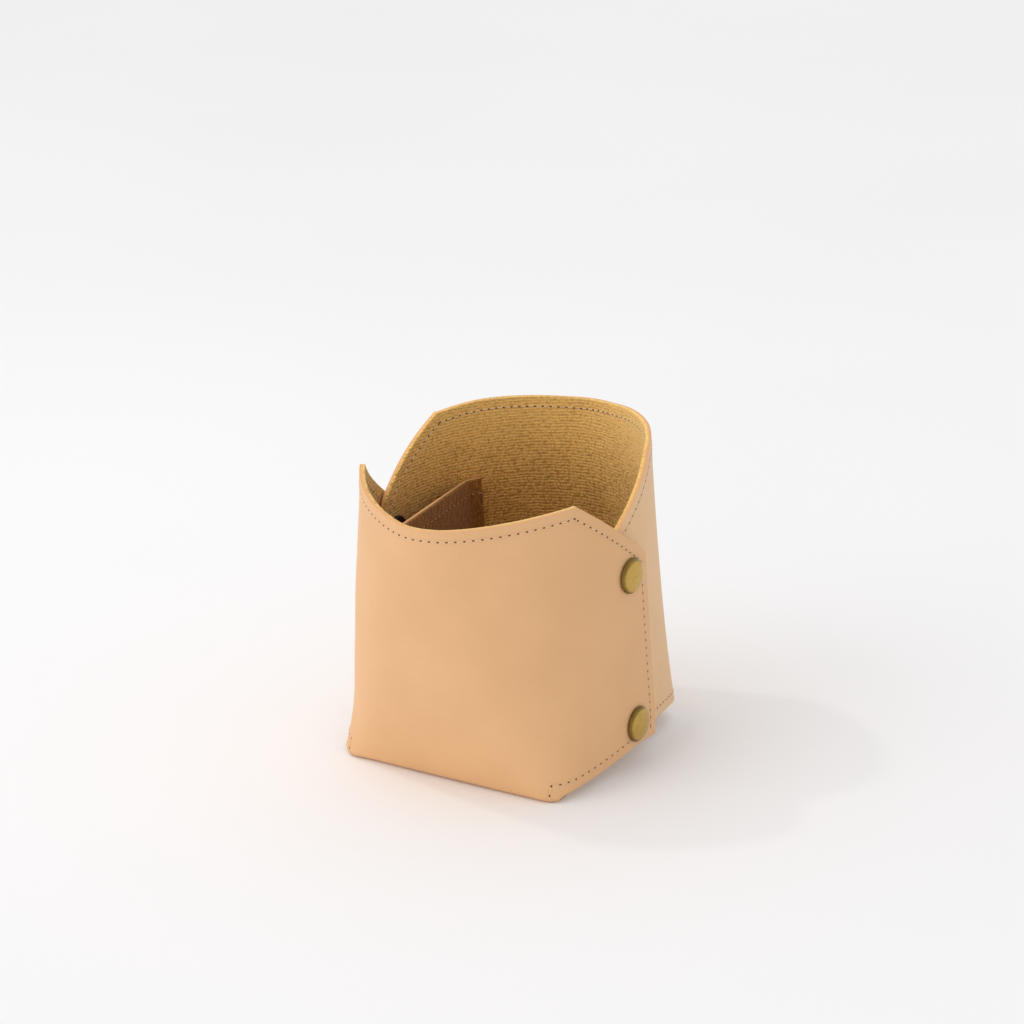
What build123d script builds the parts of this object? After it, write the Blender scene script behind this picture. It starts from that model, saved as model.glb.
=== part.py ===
# Folded pen holder: one cut sheet of lined imitation leather, closed on each side by two snap
# fasteners, with a standing divider sheet inside. Millimetres, +Z up, front panel towards -Y.
# The origin is below the middle of the whole box, on the surface that the holder stands on.

import os
from math import cos, exp, pi, radians, sin, sqrt

from build123d import *

# Sheet
leather = 1.0
lining = 0.9
nest_gap = 0.8
part_gap = 0.3
fold_radius = 2.6

# Base panel, and how far its middle stands behind the origin: the front bows out further
base_width = 80.0
base_depth = 82.0
base_middle_y = 1.14

# Wall form: the square foot opens into a rounder mouth
mouth_taper = 0.033
face_bulge = 20.8
face_bulge_foot = 0.02
side_bulge = 11.4
side_bulge_foot = 2.5
bulge_settle = 25.0
corner_foot = 4.2
corner_settle = 10.0
corner_settle_height = 12.0
corner_spread = 0.2263
rim_allowance = 6.0
wall_sections = (0.0, 0.04, 0.09, 0.16, 0.27, 0.43, 0.62, 0.81, 1.0)
fold_sections = (0.0, 0.25, 0.5, 0.75, 1.0)

# Front panel and its wings
front_peak_height = 94.7
front_dip = 4.6
front_peak_y = -26.3
front_wing_top = 68.5
front_wing_end_top = 7.8
front_wing_end_foot = 11.4
front_wing_foot = 5.6
front_foot_crest = -8.0

# Back panel and its wings
back_height = 101.7
back_crown = 0.5
back_peak_y = 18.0
back_wing_top = 77.8
back_wing_end = -12.0
back_wing_corner = 7.0
back_wing_foot = 7.4
back_foot_crest = 30.0

# Crease that each front wing turns about
crease_low = 5.0
crease_high = 96.0

# Relief where a wing leaves the base fold
relief_inset = 3.2
relief_height = 2.4
relief_radius = 2.2

# Divider sheet
divider_height = 74.5
divider_space_back = 2.7
divider_space_front = 12.1
divider_tab = 3.4

# Snap fasteners
snap_low = 14.9
snap_low_y = -3.6
snap_high = 65.9
snap_high_y = -4.7
cap_diameter = 11.7
cap_height = 1.9
cap_crown = 0.35
cap_shoulder = 1.4
cap_edge = 0.5
shank_diameter = 3.2
socket_diameter = 10.0
socket_height = 1.0
socket_web = 0.2
stud_diameter = 9.4
stud_flange = 0.3
ball_diameter = 3.8
ball_height = 0.8
snap_play = 0.5
post_diameter = 9.5
post_height = 0.9
hole_play = 0.1
seat_gap = 0.15
stud_gap = 0.1

# Derived values
sheet = leather + lining
nest = sheet + nest_gap
ring_depth = base_depth + nest
mouth_height = back_height + rim_allowance
far = 2 * (base_width + base_depth)


def wall_shape(z):
    """Turns and half lengths of the three arcs in one quarter of the outer wall at height z."""
    settle = exp(-z / bulge_settle)
    face = radians(face_bulge) * (1 + face_bulge_foot - settle)
    side = radians(side_bulge + side_bulge_foot * settle)
    rounding = corner_settle * (1 - exp(-z / corner_settle_height))
    corner = corner_foot + rounding + corner_spread * base_width * z / back_height
    shrink = 1 - mouth_taper * z / back_height
    face_length = base_width / 2 * shrink - corner
    side_length = ring_depth / 2 * shrink - corner
    return face, side, face_length, side_length, corner


def wall_points(z, inset):
    """Five points of the front right quarter, middle of the front to middle of the side."""
    face, side, face_length, side_length, corner = wall_shape(z)
    turn = pi / 2 - face - side
    face_radius = face_length / face
    corner_radius = 2 * corner / turn
    side_radius = side_length / side
    x = 0.0
    y = 0.0
    heading = 0.0
    points = [(x, y, heading)]
    for radius, step in (
        (face_radius, face),
        (corner_radius, turn / 2),
        (corner_radius, turn / 2),
        (side_radius, side),
    ):
        x += radius * (sin(heading + step) - sin(heading))
        y += radius * (cos(heading) - cos(heading + step))
        heading += step
        points.append((x, y, heading))
    middle = points[-1][1]
    return [(px - inset * sin(h), py - middle + inset * cos(h)) for px, py, h in points]


def wall_ring(z, inset):
    """Closed outline of the wall at height z: eight tangent arcs."""
    front, start, bend, end, flank = wall_points(z, inset)

    def arc(first, middle, last):
        return ThreePointArc((*first, z), (*middle, z), (*last, z))

    def flip(point, right, front_side):
        return (point[0] * right, point[1] * front_side)

    edges = [arc(flip(start, -1, 1), front, start)]
    edges.append(arc(start, bend, end))
    edges.append(arc(end, flank, flip(end, 1, -1)))
    edges.append(arc(flip(end, 1, -1), flip(bend, 1, -1), flip(start, 1, -1)))
    edges.append(arc(flip(start, 1, -1), flip(front, 1, -1), flip(start, -1, -1)))
    edges.append(arc(flip(start, -1, -1), flip(bend, -1, -1), flip(end, -1, -1)))
    edges.append(arc(flip(end, -1, -1), flip(flank, -1, 1), flip(end, -1, 1)))
    edges.append(arc(flip(end, -1, 1), flip(bend, -1, 1), flip(start, -1, 1)))
    return Face(Wire(edges))


def tub(inset, floor, fold):
    """Solid filling of the wall, inset all round, its foot folded round onto z = floor."""
    turns = [section * pi / 2 for section in fold_sections]
    rings = [wall_ring(floor + fold * (1 - cos(t)), inset + fold * (1 - sin(t))) for t in turns]
    rise = mouth_height - floor - fold
    heights = [floor + fold + rise * section for section in wall_sections]
    return loft(rings) + loft([wall_ring(z, inset) for z in heights])


def layer(outer, inner, floor):
    """Shell between two insets, closed by the base panel at the bottom."""
    inner_floor = floor + inner - outer
    filling = tub(inner, inner_floor, fold_radius - inner_floor)
    return tub(outer, floor, fold_radius - floor) - filling


def prism_x(outline, x_from, x_to):
    """Solid of a closed outline in Y and Z, from one X to another."""
    face = Face(Wire(outline))
    return Pos(x_from, 0, 0) * extrude(face, amount=x_to - x_from, dir=(1, 0, 0))


def yz_line(*points):
    return Polyline(*[(0, y, z) for y, z in points])


def above_rim(side, peak_x, peak_z, middle_z, peak_y):
    """Space over the front rim (side -1) or the back rim (side 1), outside the peaks' line."""
    rim = ThreePointArc((-peak_x, 0, peak_z), (0, 0, middle_z), (peak_x, 0, peak_z))
    sky = Polyline((peak_x, 0, peak_z), (far, 0, peak_z), (far, 0, far), (-far, 0, far),
                   (-far, 0, peak_z), (-peak_x, 0, peak_z))
    face = Face(Wire([rim, *sky.edges()]))
    solid = extrude(face, amount=far, dir=(0, side, 0))
    return Pos(0, peak_y, 0) * solid


def below_wing(sign, panel_y, crest_y, crest_z):
    """Space under a wing outside the base panel, rounded where the wing leaves the base fold."""
    start = panel_y - sign * relief_inset
    inner = start - sign * relief_radius
    middle = relief_radius * (1 - sqrt(0.5))
    rise = Line((0, start, -far), (0, start, relief_height - relief_radius))
    turn = ThreePointArc(
        (0, start, relief_height - relief_radius),
        (0, start - sign * middle, relief_height - middle),
        (0, inner, relief_height),
    )
    rest = yz_line((inner, relief_height), (crest_y, crest_z), (-sign * far, crest_z),
                   (-sign * far, -far), (start, -far))
    right = prism_x([rise, turn, *rest.edges()], base_width / 2, far)
    return [right, mirror(right, Plane.YZ)]


def front_cut():
    """Everything that the pattern takes off the front sheet."""
    peak_x = wall_x(front_peak_y, front_peak_height, 0)
    middle = front_peak_height - front_dip
    rim = above_rim(-1, peak_x, front_peak_height, middle, front_peak_y)
    outline = yz_line(
        (front_peak_y, front_peak_height), (front_wing_end_top, front_wing_top),
        (front_wing_end_foot, front_wing_foot), (front_wing_end_foot, -far), (far, -far),
        (far, far), (front_peak_y, far), (front_peak_y, front_peak_height),
    )
    side = prism_x(outline.edges(), -far, far)
    foot = below_wing(-1, -ring_depth / 2, front_foot_crest, front_wing_foot)
    back_half = Pos(0, far / 2, 0) * Box(base_width, far, 4 * sheet)
    return [rim, side, *foot, back_half]


def back_cut():
    """Everything that the pattern takes off the back sheet."""
    peak_height = back_height - back_crown
    peak_x = wall_x(back_peak_y, peak_height, nest)
    rim = above_rim(1, peak_x, peak_height, back_height, back_peak_y)
    slope = FilletPolyline(
        (0, back_peak_y, peak_height), (0, back_wing_end, back_wing_top),
        (0, back_wing_end, -far), radius=back_wing_corner,
    )
    rest = yz_line((back_wing_end, -far), (-far, -far), (-far, far), (back_peak_y, far),
                   (back_peak_y, peak_height))
    side = prism_x([*slope.edges(), *rest.edges()], -far, far)
    foot = below_wing(1, ring_depth / 2 - nest, back_foot_crest, back_wing_foot)
    front_half = Pos(0, -far / 2, 0) * Box(base_width, far, 4 * sheet)
    return [rim, side, *foot, front_half]


def wall_x(y, z, inset):
    """X of the right wall where it crosses the given Y at height z."""
    line = Line((0, y, z), (far, y, z))
    crossing = wall_ring(z, inset) & line
    return crossing.bounding_box().max.X


def crease():
    """Ends of the straight line that the right front wing turns about."""
    low = wall_points(crease_low, -part_gap)[2]
    high = wall_points(crease_high, -part_gap)[2]
    return Vector(low[0], low[1], crease_low), Vector(high[0], high[1], crease_high)


def wing_space(shift):
    """Space beyond the right front crease and above the heel of the base fold."""
    low, high = crease()
    face, side, *lengths = wall_shape((crease_low + crease_high) / 2)
    heading = (pi / 2 + face - side) / 2
    away = Vector(cos(heading), sin(heading), 0)
    along = (high - low).normalized()
    plane = Plane(origin=low, x_dir=along, z_dir=away - along * away.dot(along))
    beyond = plane * Pos(0, 0, far / 2 + shift) * Box(far, far, far)
    above = Pos(0, 0, far / 2 + relief_height + shift) * Box(far, far, far)
    return beyond & above


def snap_planes():
    """Frames on the right wall at the two snaps: Z along the outward normal."""
    planes = []
    for z, y in ((snap_low, snap_low_y), (snap_high, snap_high_y)):
        flank = wall_points(z, 0)[4][0]
        face, side, face_length, side_length, corner = wall_shape(z)
        radius = side_length / side
        depth = sqrt(radius ** 2 - y ** 2)
        x = flank - radius + depth
        slope = wall_points(z + 1, 0)[4][0] - flank
        normal = Vector(depth / radius, y / radius, -slope)
        planes.append(Plane(origin=(x, y, z), x_dir=(0, 1, 0), z_dir=normal))
    return planes


def disc(radius, low, high):
    return Pos(0, 0, (low + high) / 2) * Cylinder(radius, high - low)


def snap_cap():
    """Low domed cap on the outer face, with the shank that goes through the front wing."""
    radius = cap_diameter / 2
    shank = shank_diameter / 2
    end = -leather - seat_gap - seat_gap
    turn = (radius - cap_shoulder, 0, cap_height - cap_crown)
    under = Polyline(
        (0, 0, end), (shank, 0, end), (shank, 0, 0), (radius - cap_edge / 2, 0, 0),
        (radius, 0, cap_edge / 2), (radius, 0, cap_edge),
    )
    crown = TangentArc((0, 0, cap_height), turn, tangent=(1, 0, 0))
    shoulder = TangentArc(turn, (radius, 0, cap_edge), tangent=crown % 1)
    axis_line = Line((0, 0, cap_height), (0, 0, end))
    button = revolve(Face(Wire([*under.edges(), shoulder, crown, axis_line])), Axis.Z)
    return Pos(0, 0, seat_gap) * button


def snap_socket():
    """Shallow ring between the sheets, its well opening inwards."""
    top = -leather - seat_gap
    ring = disc(socket_diameter / 2, top - socket_height, top)
    well = disc(ball_diameter / 2 + snap_play, top - 2 * socket_height, top - socket_web)
    return fillet(ring.edges().group_by(Axis.Z)[0], socket_height / 4) - well


def snap_stud():
    """Flange and ball on the outer face of the back wing."""
    foot = -nest + stud_gap
    flange = disc(stud_diameter / 2, foot, foot + stud_flange)
    ball = disc(ball_diameter / 2, foot, foot + stud_flange + ball_height)
    return flange + fillet(ball.edges().group_by(Axis.Z)[-1], ball_height / 2)


def snap_post():
    """Round head on the inner face of the back wing, with its shank to the stud."""
    face = -nest - sheet - seat_gap
    head = disc(post_diameter / 2, face - post_height, face)
    head = fillet(head.edges().group_by(Axis.Z)[0], post_height / 2)
    return head + disc(shank_diameter / 2, face, -nest + stud_gap)


def drilled(solid, radius, high, low):
    """Solid with a round hole at every snap, on both sides."""
    for plane in snap_planes():
        hole = plane * disc(radius, low, high)
        solid = solid - hole - mirror(hole, Plane.YZ)
    return solid


def sheet_layers(outer, inner, floor):
    """Front sheet and back sheet of one layer, cut to the pattern and drilled for the snaps."""
    hole = shank_diameter / 2 + hole_play
    front = layer(outer, inner, floor) - front_cut()
    front = drilled(front, hole, far, -nest + nest_gap / 2)
    if outer > 0:
        front = drilled(front, socket_diameter / 2 + hole_play, -outer - seat_gap / 2, -nest)
    back = layer(nest + outer, nest + inner, floor) - back_cut()
    back = drilled(back, hole, -nest + nest_gap / 2, -2 * nest)
    return front, back


def divider_space(inset, floor):
    """Inside of the holder above a floor, at a distance from the front and back sheets."""
    half = Box(far, far, far)
    fold = fold_radius - sheet
    front = tub(sheet + inset, floor, fold) & (Pos(0, -far / 2, 0) * half)
    back = tub(nest + sheet + inset, floor, fold) & (Pos(0, far / 2, 0) * half)
    return front + back


def divider_slice(low, high):
    """Upright slice between two distances to the right of the divider's line."""
    left = -base_width / 2
    back = Vector(left + divider_space_back, base_depth / 2, 0)
    front = Vector(left + divider_space_front, -base_depth / 2, 0)
    plane = Plane(origin=back, x_dir=front - back, z_dir=(0, 0, 1))
    slab = Box(far, high - low, divider_height)
    return plane * Pos(0, (low + high) / 2, divider_height / 2) * slab


def divider_layer(low, high):
    """One layer of the divider: a wall with a tab along the front sheet and the back sheet."""
    block = divider_slice(low, divider_tab) & divider_space(part_gap + low, sheet)
    hollow = divider_slice(high, far) & divider_space(part_gap + high, leather)
    return block - hollow


def build():
    """All nodes by name."""
    nodes = {}
    right = wing_space(part_gap / 2)
    taken = wing_space(-part_gap / 2)
    for name, outer, inner in (("leather", 0.0, leather), ("lining", leather, sheet)):
        front, back = sheet_layers(outer, inner, outer)
        wing = front & right
        nodes[f"body_{name}"] = (front - taken - mirror(taken, Plane.YZ)) + back
        nodes[f"right_wing_{name}"] = wing
        nodes[f"left_wing_{name}"] = mirror(wing, Plane.YZ)
        nodes[f"divider_{name}"] = divider_layer(outer, inner)
    pieces = {"cap": snap_cap(), "socket": snap_socket(), "stud": snap_stud(), "post": snap_post()}
    for level, plane in zip(("lower", "upper"), snap_planes()):
        for kind, piece in pieces.items():
            placed = plane * piece
            nodes[f"right_{kind}_{level}"] = placed
            nodes[f"left_{kind}_{level}"] = mirror(placed, Plane.YZ)
    return nodes


os.makedirs("parts", exist_ok=True)
for node, solid in build().items():
    export_step(Pos(0, base_middle_y, 0) * solid, f"parts/{node}.step")
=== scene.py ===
# Pen holder folded from one cut sheet of imitation leather with a brown knitted lining. Lengths
# and places are written in millimetres and become metres where a mesh or the floor is made.

import bmesh
import bpy
import numpy as np
from mathutils import Matrix, Vector


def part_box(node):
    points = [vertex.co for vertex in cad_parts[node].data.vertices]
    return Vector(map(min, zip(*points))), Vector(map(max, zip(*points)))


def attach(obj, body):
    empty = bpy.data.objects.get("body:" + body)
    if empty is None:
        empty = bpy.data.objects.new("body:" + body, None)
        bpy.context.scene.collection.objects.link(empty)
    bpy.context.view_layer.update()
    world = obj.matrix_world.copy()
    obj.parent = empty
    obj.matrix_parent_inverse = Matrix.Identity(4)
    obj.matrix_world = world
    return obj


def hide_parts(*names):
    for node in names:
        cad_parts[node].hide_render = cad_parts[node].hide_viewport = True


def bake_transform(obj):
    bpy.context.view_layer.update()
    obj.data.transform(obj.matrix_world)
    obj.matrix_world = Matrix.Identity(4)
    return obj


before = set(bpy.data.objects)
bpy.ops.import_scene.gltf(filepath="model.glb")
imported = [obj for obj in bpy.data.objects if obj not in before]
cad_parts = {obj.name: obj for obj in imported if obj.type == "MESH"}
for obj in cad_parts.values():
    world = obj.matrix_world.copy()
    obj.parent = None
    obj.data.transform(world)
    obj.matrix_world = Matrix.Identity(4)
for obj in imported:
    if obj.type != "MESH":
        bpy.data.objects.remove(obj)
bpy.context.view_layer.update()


# Front sheet, leather
# The front panel and its two wings are the outer half of the cut sheet: smooth tan imitation
# leather, 1 mm thick, its cut edges left raw. It is made as two halves that meet in the middle.

leather_thick = 1.0
lining_thick = 0.9
sheet_thick = leather_thick + lining_thick
fold_radius = 2.6
fold_end = fold_radius * (1.0 - np.pi / 2)
base_width = 80.0
base_depth = 82.0
base_middle_y = 1.14
nest_gap = 0.8
nest = sheet_thick + nest_gap
ring_depth = base_depth + nest
edge_radius = 0.25
seam_inset = 3.5

# Wall form: how much the front and the side curve, in degrees, half the length of the rounded
# corner, and how these settle with height.
bulge_settle = 25.0
face_bulge = 20.8
face_bulge_foot = 0.02
side_bulge = 11.4
side_bulge_foot = 2.5
corner_half = 14.2
corner_squeeze = 10.0
corner_settle = 12.0
corner_spread = 0.178
mouth_taper = 0.033
mouth_height = 101.7

# Search for a place on the wall, and the steps of the grid.
search_reach = (78.0, 105.0)
halvings = 40
fine_steps = np.array([0.0, 0.06, 0.16, 0.3, 0.7])
sheet_rows = 96
row_crowding = 1.3
smooth_below = np.radians(42)


def wall(s, z, inset):
    """Point of the right front wall, s along it from the middle of the front, at height z and
    inset from its outer face. The plan is three tangent arcs: a slack front, a rounding corner
    and a slack side; each opens with height as the square foot turns into the round mouth."""
    settle = np.exp(-z / bulge_settle)
    face = np.radians(face_bulge) * (1.0 + face_bulge_foot - settle)
    side = np.radians(side_bulge + side_bulge_foot * settle)
    corner = corner_half - corner_squeeze * np.exp(-z / corner_settle) + corner_spread * z
    shrink = 1.0 - mouth_taper * z / mouth_height
    turn = np.pi / 2 - face - side
    front_length = base_width / 2 * shrink - corner
    front_radius = front_length / face
    corner_radius = 2.0 * corner / turn
    side_radius = (ring_depth / 2 * shrink - corner) / side
    first = np.minimum(s / front_radius, face)
    second = np.clip(face + (s - front_length) / corner_radius, face, face + turn)
    third = np.maximum(face + turn + (s - front_length - 2.0 * corner) / side_radius, face + turn)
    heading = first + second - face + third - face - turn
    x = front_radius * np.sin(first) + corner_radius * (np.sin(second) - np.sin(face))
    x = x + side_radius * (np.sin(third) - np.sin(face + turn)) - inset * np.sin(heading)
    y = front_radius * (np.cos(face) - np.cos(first)) + side_radius * (0.0 - np.cos(third))
    y = y + corner_radius * (np.cos(face + turn) - np.cos(second)) + inset * np.cos(heading)
    return np.stack(np.broadcast_arrays(x, y, z), axis=-1)


def folded(v, depth):
    """Height and inset of a place v up the sheet, at a depth in it. Above the fold v is the
    height; below, the sheet turns under in a quarter circle and v goes on along that."""
    turned = np.clip((fold_radius - v) / fold_radius, 0.0, np.pi / 2)
    radius = fold_radius - depth
    height = np.maximum(v, fold_radius) - radius * np.sin(turned)
    return height, depth + radius * (1.0 - np.cos(turned))


def length_at(axis, value, z, inset=0.0):
    """Length s at which the wall reaches a value of x (axis 0) or y (axis 1), by halving the
    stretch over which that grows."""
    low = np.zeros(np.broadcast(value, z).shape)
    high = low + search_reach[axis]
    for halving in range(halvings):
        middle = (low + high) / 2
        short = wall(middle, z, inset)[..., axis] < value
        low = np.where(short, middle, low)
        high = np.where(short, high, middle)
    return (low + high) / 2


def close_to_ends(count, length, start=fine_steps):
    """Shares from 0 to 1: even steps, with a few fine steps at the start and at the end."""
    first = np.array(start) / length
    last = 1.0 - fine_steps[::-1] / length
    return np.concatenate([first, np.linspace(first[-1], last[0], count)[1:-1], last])


def sheet_grid(bottom, top, lean=None):
    """Grid of places on the flat sheet between its lower and upper outline, as straight columns
    with fine steps at both ends and in the fold; lean moves the last columns onto a curved end."""
    length = np.linalg.norm(top - bottom, axis=-1)
    share = np.linspace(0.0, 1.0, sheet_rows)[1:-1, None] ** row_crowding
    body = share * (length - 2 * fine_steps[-1]) + fine_steps[-1]
    steps = np.concatenate([fine_steps[:, None] + 0 * length, body,
                            length - fine_steps[::-1, None]])
    flat = bottom + (top - bottom) * (steps / length)[..., None]
    if lean is not None:
        flat[..., 0] += lean(flat[..., 1])
    return flat


def distance_to(flat, line):
    """Shortest distance from each place on the flat sheet to a line of short straight runs."""
    start = line[:-1]
    run = line[1:] - start
    offset = flat[..., None, :] - start
    share = np.clip((offset * run).sum(-1) / (run ** 2).sum(-1), 0.0, 1.0)
    return np.linalg.norm(offset - share[..., None] * run, axis=-1).min(-1)


def unit(vectors):
    """The same directions with a length of 1."""
    return vectors / np.linalg.norm(vectors, axis=-1, keepdims=True)


def length_along(line):
    """Length from a line's start to each of its points."""
    return np.concatenate([[0.0], np.cumsum(np.linalg.norm(np.diff(line, axis=0), axis=-1))])


def ease(share):
    """Soft step from 0 to 1 while the share goes from 0 to 1."""
    return np.sin(np.pi / 2 * np.clip(share, 0.0, 1.0)) ** 2


def rounding(edge, radius):
    """How far the surface has dropped at a distance from the cut edge: a quarter circle."""
    inward = np.clip(radius - edge, 0.0, radius)
    return radius - np.sqrt(radius ** 2 - inward ** 2)


def shell(name, outer, inner, flat, edge, seam, materials):
    """Closed sheet between two grids of points, seen from outside with rows upward and columns
    to the right. A strip joins the grids round their border and takes the second material. edge
    and seam are the distances to the cut edge and to the seam, which the materials use."""
    rows, columns = outer.shape[:2]
    count = rows * columns
    index = np.arange(count).reshape(rows, columns)
    quads = np.stack([index[:-1, :-1], index[:-1, 1:], index[1:, 1:], index[1:, :-1]], axis=-1)
    quads = quads.reshape(-1, 4)
    border = np.concatenate([index[0, :-1], index[:-1, -1], index[-1, :0:-1], index[:0:-1, 0]])
    after = np.roll(border, -1)
    strip = np.stack([border, border + count, after + count, after], axis=-1)
    faces = np.concatenate([quads, quads[:, ::-1] + count, strip])
    points = np.concatenate([outer.reshape(-1, 3), inner.reshape(-1, 3)])
    mesh = bpy.data.meshes.new(name)
    mesh.from_pydata((points / 1000.0).tolist(), [], faces.tolist())
    for material in materials:
        mesh.materials.append(material)
    kinds = np.concatenate([np.zeros(2 * len(quads)), np.ones(len(strip))]).astype(np.int32)
    mesh.polygons.foreach_set("material_index", kinds)
    places = np.tile(flat.reshape(-1, 2), (2, 1)) / 100.0
    corners = np.empty(len(mesh.loops), np.int32)
    mesh.loops.foreach_get("vertex_index", corners)
    mesh.uv_layers.new(name="flat").data.foreach_set("uv", places[corners].ravel())
    layers = {"edge": np.tile(edge.ravel(), 2), "seam": np.tile(seam.ravel(), 2),
              "depth": np.repeat([0.0, 1.0], count)}
    for label, values in layers.items():
        attribute = mesh.attributes.new(label, "FLOAT", "POINT")
        attribute.data.foreach_set("value", values.astype(np.float32))
    mesh.shade_smooth()
    mesh.set_sharp_from_angle(angle=smooth_below)
    piece = bpy.data.objects.new(name, mesh)
    bpy.context.collection.objects.link(piece)
    return piece


class Field:
    """A number that varies over a surface; arithmetic on it adds the nodes that work it out."""

    def __init__(self, tree, socket):
        self.tree = tree
        self.socket = socket

    def math(self, operation, *others):
        node = self.tree.nodes.new("ShaderNodeMath")
        node.operation = operation
        for place, value in zip(node.inputs, [self, *others]):
            feed(self.tree, place, value)
        return Field(self.tree, node.outputs[0])

    def __add__(self, other):
        return self.math("ADD", other)

    def __mul__(self, other):
        return self.math("MULTIPLY", other)

    def __sub__(self, other):
        return self.math("SUBTRACT", other)

    def __truediv__(self, other):
        return self.math("DIVIDE", other)

    def __rsub__(self, other):
        return self * -1.0 + other

    __radd__ = __add__
    __rmul__ = __mul__

    def between(self, low, high):
        """Smooth step from 0 at low to 1 at high."""
        node = self.tree.nodes.new("ShaderNodeMapRange")
        node.interpolation_type = "SMOOTHSTEP"
        feed(self.tree, node.inputs["Value"], self)
        node.inputs["From Min"].default_value = low
        node.inputs["From Max"].default_value = high
        return Field(self.tree, node.outputs["Result"])

    def wave(self):
        return self.math("SINE")


def feed(tree, place, value):
    """Links a field to a socket, or writes a plain value in it."""
    if isinstance(value, Field):
        tree.links.new(value.socket, place)
    else:
        place.default_value = value


def shade(red, green, blue):
    """Colour as seen on a screen, 0 to 255, turned into the light that it stands for."""
    screen = np.array([red, green, blue]) / 255.0
    light = np.where(screen <= 0.04045, screen / 12.92, ((screen + 0.055) / 1.055) ** 2.4)
    return (*light.tolist(), 1.0)


class Finish:
    """A material under way: its nodes are added one by one and end in its shader's sockets."""

    def __init__(self, name, **sockets):
        self.material = bpy.data.materials.new(name)
        self.material.use_nodes = True
        self.tree = self.material.node_tree
        self.shader = self.tree.nodes["Principled BSDF"]
        self.set(**sockets)

    def set(self, **sockets):
        for label, value in sockets.items():
            feed(self.tree, self.shader.inputs[label.replace("_", " ").title()], value)

    def node(self, kind, settings=None, output=0, **inputs):
        """Any other node: its settings first, then its sockets, and one output as a field."""
        node = self.tree.nodes.new("ShaderNode" + kind)
        for label, value in (settings or {}).items():
            setattr(node, label, value)
        for label, value in inputs.items():
            feed(self.tree, node.inputs[label.replace("_", " ").title()], value)
        return Field(self.tree, node.outputs[output])

    def attribute(self, label):
        return self.node("Attribute", {"attribute_name": label}, output="Fac")

    def split(self, vector):
        """The three parts of a vector field."""
        node = self.tree.nodes.new("ShaderNodeSeparateXYZ")
        feed(self.tree, node.inputs[0], vector)
        return [Field(self.tree, socket) for socket in node.outputs]

    def noise(self, place, scale, detail=2.0, roughness=0.5):
        return self.node("TexNoise", Vector=place, Scale=scale, Detail=detail, Roughness=roughness)

    def blend(self, share, first, second):
        """Colour between two colours or colour fields."""
        node = self.tree.nodes.new("ShaderNodeMix")
        node.data_type = "RGBA"
        for place, value in zip((node.inputs[0], node.inputs[6], node.inputs[7]),
                                (share, first, second)):
            feed(self.tree, place, value)
        return Field(self.tree, node.outputs[2])

    def relief(self, height, depth, strength=1.0, under=None):
        """Surface direction of a height field; depth is the height of 1, in millimetres."""
        inputs = {"Height": height, "Distance": depth / 1000.0, "Strength": strength}
        if under is not None:
            inputs["Normal"] = under
        return self.node("Bump", **inputs)


def leather_finish(name, low, high):
    """Tan imitation leather: satin, a very fine pebble grain, faint cloudy colour, and a shallow
    valley along the sewn seam where the thread pulls the sheet down, painted a little darker as
    painted shade."""
    finish = Finish(name)
    place = finish.node("TexCoord", output="Object")
    cloud = finish.noise(place, 38.0, 3.0)
    pores = finish.noise(place, 1500.0, 3.0, 0.6)
    grain = finish.node("TexVoronoi", {"feature": "SMOOTH_F1"}, Vector=place, Scale=1900.0)
    valley = 1.0 - finish.attribute("seam").between(0.0, 1.3)
    near_cut = 1.0 - finish.attribute("edge").between(0.0, 0.9)
    colour = finish.blend(cloud.between(0.3, 0.7), shade(*low), shade(*high))
    colour = finish.blend(pores.between(0.35, 0.75) * 0.2, colour, shade(220, 168, 116))
    # Painted shade: the colour is darkened a little in the seam's valley.
    colour = finish.blend(valley * 0.1, colour, shade(196, 146, 96))
    colour = finish.blend(near_cut * 0.35, colour, shade(228, 172, 114))
    fine = finish.relief(grain * 0.7 + pores * 0.5, 0.035, 0.3)
    finish.set(base_color=colour, normal=finish.relief(1.0 - valley, 0.1, 1.0, fine))
    finish.set(roughness=0.46 + pores * 0.12)
    return finish.material


def edge_finish():
    """Raw cut edge: the coloured skin shows as an orange line, and the backing inside is paler."""
    finish = Finish("cut_edge", roughness=0.75)
    place = finish.node("TexCoord", output="Object")
    fibre = finish.noise(place, 1100.0, 3.0, 0.65)
    skin = 1.0 - finish.attribute("depth").between(0.35, 0.6)
    colour = finish.blend(skin, shade(236, 184, 126), shade(236, 168, 100))
    colour = finish.blend(fibre.between(0.35, 0.7) * 0.35, colour, shade(214, 152, 90))
    finish.set(base_color=colour, normal=finish.relief(fibre, 0.12, 0.5))
    return finish.material


# Each peak: its y and z, the x from which the rim rises to it, and how steeply. The wing's end:
# y and z of its upper and lower corner.
rim_low = 90.1
peaks = {1: (-25.85, 94.3, 8.0, 1.4), -1: (-28.8, 96.6, 0.0, 1.5)}
end_top = (5.4, 70.3)
end_foot = (9.1, 6.9)
heel_s = 41.0
foot_start = 2.64
foot_slope = 0.1435
level_from = 72.0
level_off = 0.0078
foot_sag = 0.65
sag_run = 5.0
panel_shares = close_to_ends(58, base_width / 2, start=(0.0, 0.15, 0.4, 0.7))
heel_steps = (0.0, 0.06, 0.16, 0.3, 0.6, 0.9, 1.3, 1.7, 2.2, 2.8, 3.5)
wing_shares = close_to_ends(50, 50.0, start=heel_steps)[1:]


def foot_climb(s):
    """Even climb of the front wing's foot, which sags a little behind the heel and levels off
    towards the wing's end."""
    sag = foot_sag * (1.0 - np.exp(-np.maximum(s - heel_s, 0.0) / sag_run))
    levelled = level_off * np.maximum(s - level_from, 0.0) ** 2
    return foot_start + foot_slope * (s - heel_s) - levelled - sag


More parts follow.
